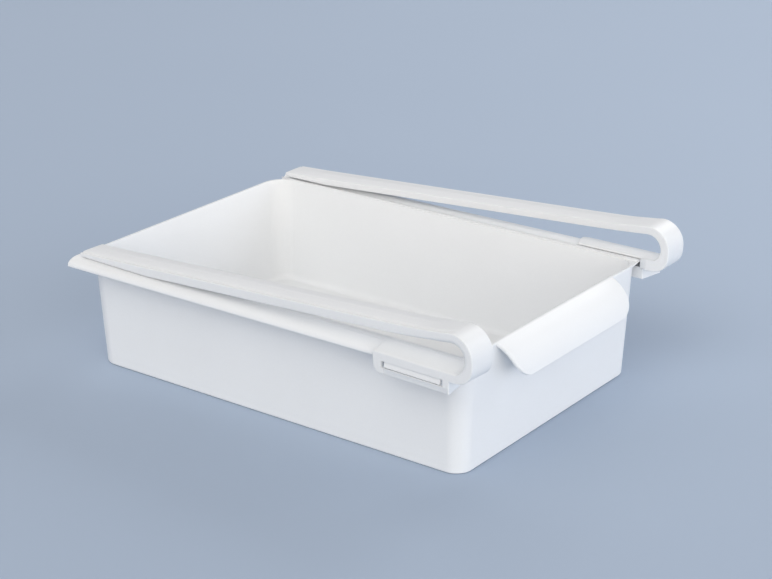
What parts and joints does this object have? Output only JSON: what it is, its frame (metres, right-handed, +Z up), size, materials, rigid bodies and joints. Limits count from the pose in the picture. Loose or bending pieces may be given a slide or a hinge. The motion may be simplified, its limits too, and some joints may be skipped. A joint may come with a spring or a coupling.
{
  "type": "under-shelf drawer tub with spring clips",
  "caption": "Open rectangular white tub with side rails and a curved pull lip, hung under a shelf by a hairpin spring clip on each rail.",
  "frame": {"origin": "centre of the tub's flat underside", "axes": "+Z up, +Y along the rails towards the rear, -Y the side with the pull lip, +X to the right seen from the pull lip"},
  "size_m": [0.2383, 0.3243, 0.1016],
  "materials": {
    "tub_plastic": "satin moulded",
    "clip_plastic": "satin moulded"
  },
  "bodies": {
    "tub": {"drawer_tub": "tub_plastic"},
    "clip_left": {"rail_clip_left": "clip_plastic"},
    "clip_right": {"rail_clip_right": "clip_plastic"}
  },
  "joints": [
    {"name": "clip_left_slide", "type": "slide", "parent": "tub", "child": "clip_left", "axis": [0, -1, 0], "range_m": [0, 0.045]},
    {"name": "clip_right_slide", "type": "slide", "parent": "tub", "child": "clip_right", "axis": [0, -1, 0], "range_m": [0, 0.045]}
  ]
}
